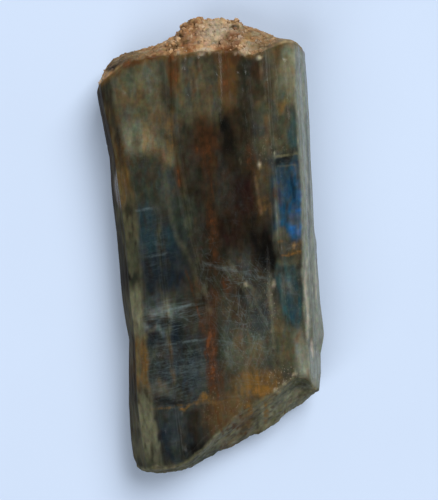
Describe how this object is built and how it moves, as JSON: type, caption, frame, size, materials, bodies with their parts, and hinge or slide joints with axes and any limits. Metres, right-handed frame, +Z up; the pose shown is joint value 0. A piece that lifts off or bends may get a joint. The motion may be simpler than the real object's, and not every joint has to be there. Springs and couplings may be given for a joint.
{
  "type": "kyanite crystal",
  "caption": "Thick blade-shaped kyanite crystal with bevelled edges, a crusted end and a slanting broken end, lying on a broad face.",
  "frame": {"origin": "under the middle of the crystal's box, on the surface it rests on", "axes": "+Y along the blade towards the crusted end, +X across it, +Z up out of the broad face that shows"},
  "size_m": [0.0252, 0.0546, 0.0091],
  "materials": {
    "kyanite": "vitreous to pearly, dark blue-green with rust-stained seams; rough ochre crust at one end"
  },
  "bodies": {
    "root": {"kyanite_crystal": "kyanite"}
  },
  "joints": []
}
